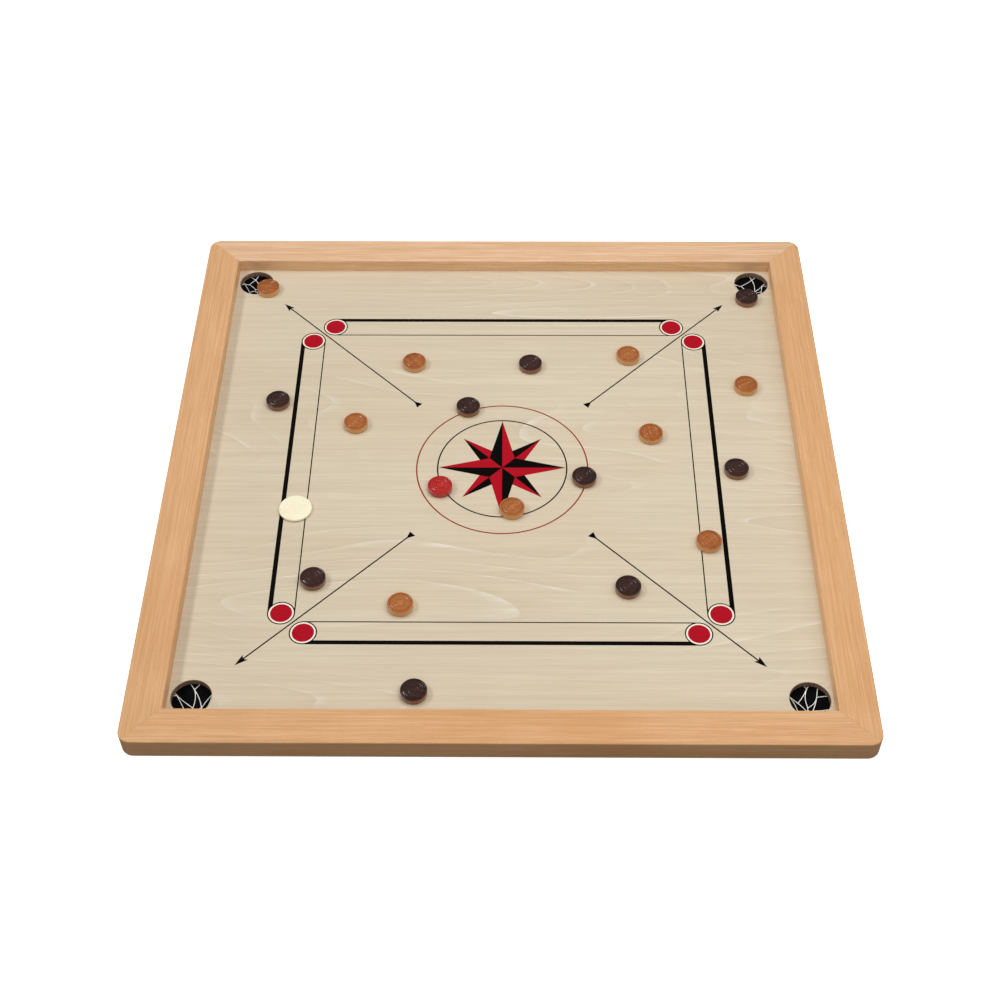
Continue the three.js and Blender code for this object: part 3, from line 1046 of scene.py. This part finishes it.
def store_side_light_and_groove_shade(mesh, centre, top):
    """Marks the rim wall, painted lighter as painted light, and the groove rings, painted darker as
    painted shade, of a turned piece for its material.
    """
    sides, grooves = [], []
    for vertex in mesh.vertices:
        offset = Vector((vertex.co.x - centre.x * MM, vertex.co.y - centre.y * MM))
        radius = offset.length / MM
        fall = top - vertex.co.z / MM
        sides.append(min(max((fall - SIDE_FROM) / SIDE_FADE, 0), 1) if radius > RIM_FROM else 0)
        depth = max(1 - abs(radius - at) / width for at, width in MAN_GROOVES)
        grooves.append(GROOVE_SHADE * max(depth, 0) if fall < TOP_DEPTH else 0)
    store_numbers(mesh, "side", sides)
    store_numbers(mesh, "groove", grooves)


def build_man(node, look, lightness, spin):
    """One turned piece; spin is the angle of its grain."""
    low, high = cad_box(node)
    centre = (low + high) / 2
    points, faces = turned_points(man_profile(high.z - low.z), MAN_SEGMENTS)
    mesh = mesh_from(node, points, faces, math.radians(60))
    turn = Matrix.Rotation(spin, 3, "Z")
    store_grain(mesh, turn, (spin * 0.37, spin * 0.11, spin * 0.05))
    mesh.transform(Matrix.Translation(Vector((centre.x, centre.y, low.z)) * MM))
    store_numbers(mesh, "tone", [lightness] * len(mesh.vertices))
    store_side_light_and_groove_shade(mesh, centre, high.z)
    new_object(node + "_turned", mesh, [look], node + "_body", [node])


# (inset from the rim, fall from the top) and (inset from the rim, rise from the foot)
STRIKER_SHOULDER = ((6, 0), (1.6, 0.12), (0.4, 0.75))
STRIKER_FOOT = ((0.4, 0.75), (1.4, 0.05), (2, 0))


def build_striker():
    low, high = cad_box("striker")
    centre = (low + high) / 2
    radius = (high.x - low.x) / 2
    height = high.z - low.z
    knots = [(0, height)]
    knots += [(radius - inset, height - fall) for inset, fall in STRIKER_SHOULDER]
    knots.append((radius, height / 2))
    knots += [(radius - inset, rise) for inset, rise in STRIKER_FOOT]
    profile = smooth_profile(knots, 4) + [(0, 0)]
    points, faces = turned_points(profile, 128)
    mesh = mesh_from("striker_resin", points, faces, math.radians(60))
    store_grain(mesh, Matrix.Identity(3))
    mesh.transform(Matrix.Translation(Vector((centre.x, centre.y, low.z)) * MM))
    resin = ivory_resin()
    new_object("striker_resin", mesh, [resin], "striker_body", ["striker"])


def build_playing_pieces():
    # The last pair of each wood gives how far, and to which colour, its rim wall is painted lighter:
    # painted light.
    light = turned_wood("light_man_wood", tone("84421b"), tone("a45d2a"), tone("b8743c"),
                        (0.75, tone("e2a866")))
    dark = turned_wood("dark_man_wood", tone("1e0e0a"), tone("321a14"), tone("4e2c21"),
                       (0.8, tone("94603c")))
    queen = turned_wood("queen_wood", tone("8e1412"), tone("b41f1d"), tone("c83830"),
                        (0.3, tone("b83028")))
    for index, lightness in enumerate(LIGHT_TONES):
        build_man(f"light_man_{index + 1}", light, lightness, 0.9 * index)
    for index, lightness in enumerate(DARK_TONES):
        build_man(f"dark_man_{index + 1}", dark, lightness, 0.7 + 1.1 * index)
    build_man("queen", queen, 0.1, 0.4)
    build_striker()


# ------------------------------------------------------------ stage and camera

# Millimetres from the centre of the playing surface, degrees, and millimetres of focal length
CAMERA_AT = (12.6, -1327.1, 1483.5)
CAMERA_YAW, CAMERA_PITCH, CAMERA_ROLL = 0.672, 40.648, -0.351
CAMERA_LENS = 57.21
CAMERA_SENSOR = 36
# Metres
FLOOR_REACH = 12
FLOOR_GAP = 0.0005
SKY_STRENGTH = 0.25
# Name, place and (width, height) in metres, watts, and whether glossy surfaces mirror it
LIGHTS = (
    ("left", (-2.0, 0.1, 2.3), (2.0, 0.45), 29.8, True),
    ("right", (2.2, 0.0, 2.0), (1.4, 1.4), 11.5, False),
    ("front", (0.4, -2.3, 1.6), (1.6, 1.6), 8, False),
    ("over_right", (0.5, -0.3, 1.4), (0.8, 0.8), 6.6, False),
    ("over_back", (0.0, 0.5, 1.6), (0.8, 0.8), 8.2, False),
)


def floor_look():
    """Pale floor that the camera sees bright, but that throws little light back up."""
    look = Look("floor")
    tree = look.tree
    seen = look.node("BsdfDiffuse", Color=(0.92, 0.92, 0.92, 1)).outputs["BSDF"]
    glow = look.node("Emission", Color=(1, 1, 1, 1), Strength=0.78).outputs["Emission"]
    bright = look.node("AddShader")
    tree.links.new(seen, bright.inputs[0])
    tree.links.new(glow, bright.inputs[1])
    bounce = look.node("BsdfDiffuse", Color=(0.22, 0.21, 0.2, 1)).outputs["BSDF"]
    is_camera = look.node("LightPath").outputs["Is Camera Ray"]
    both = look.node("MixShader", Fac=is_camera)
    tree.links.new(bounce, both.inputs[1])
    tree.links.new(bright.outputs[0], both.inputs[2])
    tree.links.new(both.outputs[0], tree.nodes["Material Output"].inputs["Surface"])
    return look.material


def add_floor():
    mesh = bpy.data.meshes.new("floor")
    corners = [(x * FLOOR_REACH, y * FLOOR_REACH, 0) for x, y in QUADRANTS]
    mesh.from_pydata(corners, [], [(0, 1, 2, 3)])
    mesh.materials.append(floor_look())
    floor = bpy.data.objects.new("floor", mesh)
    floor.location.z = FRAME_BOX[0][2] - FLOOR_GAP
    bpy.context.scene.collection.objects.link(floor)


def add_area(name, place, size, power, mirrored):
    """A soft box aimed at the board's centre."""
    data = bpy.data.lights.new(name, "AREA")
    data.shape = "RECTANGLE"
    data.size, data.size_y = size
    data.energy = power
    light = bpy.data.objects.new(name, data)
    light.location = place
    light.visible_glossy = mirrored
    light.rotation_euler = (-Vector(place)).to_track_quat("-Z", "Y").to_euler()
    bpy.context.scene.collection.objects.link(light)


def add_lights():
    for light in LIGHTS:
        add_area(*light)
    add_world(SKY_STRENGTH)


def add_world(strength):
    """An even sky of the given strength, that the camera itself sees as plain white."""
    world = bpy.data.worlds.new("studio")
    world.use_nodes = True
    tree = world.node_tree
    sky = tree.nodes["Background"]
    sky.inputs["Color"].default_value = (1, 1, 1, 1)
    sky.inputs["Strength"].default_value = strength
    backdrop = tree.nodes.new("ShaderNodeBackground")
    backdrop.inputs["Color"].default_value = (1, 1, 1, 1)
    both = tree.nodes.new("ShaderNodeMixShader")
    is_camera = tree.nodes.new("ShaderNodeLightPath").outputs["Is Camera Ray"]
    tree.links.new(is_camera, both.inputs["Fac"])
    tree.links.new(sky.outputs["Background"], both.inputs[1])
    tree.links.new(backdrop.outputs["Background"], both.inputs[2])
    tree.links.new(both.outputs["Shader"], tree.nodes["World Output"].inputs["Surface"])
    bpy.context.scene.world = world


def add_camera():
    data = bpy.data.cameras.new("camera")
    data.lens = CAMERA_LENS
    data.sensor_width = CAMERA_SENSOR
    camera = bpy.data.objects.new("camera", data)
    x, y, z = CAMERA_AT
    camera.location = Vector((x, y, z + SURFACE_Z)) * MM
    yaw = Matrix.Rotation(math.radians(CAMERA_YAW), 3, "Z")
    pitch = Matrix.Rotation(math.radians(CAMERA_PITCH), 3, "X")
    roll = Matrix.Rotation(math.radians(CAMERA_ROLL), 3, "Z")
    camera.rotation_euler = (yaw @ pitch @ roll).to_euler()
    bpy.context.scene.collection.objects.link(camera)
    bpy.context.scene.camera = camera


def set_colour():
    view = bpy.context.scene.view_settings
    view.view_transform = "Standard"
    view.look = "None"


build_rails()
build_panel()
build_print()
build_pockets()
build_fasteners()
finish_splines()
build_playing_pieces()
add_floor()
add_lights()
add_camera()
set_colour()
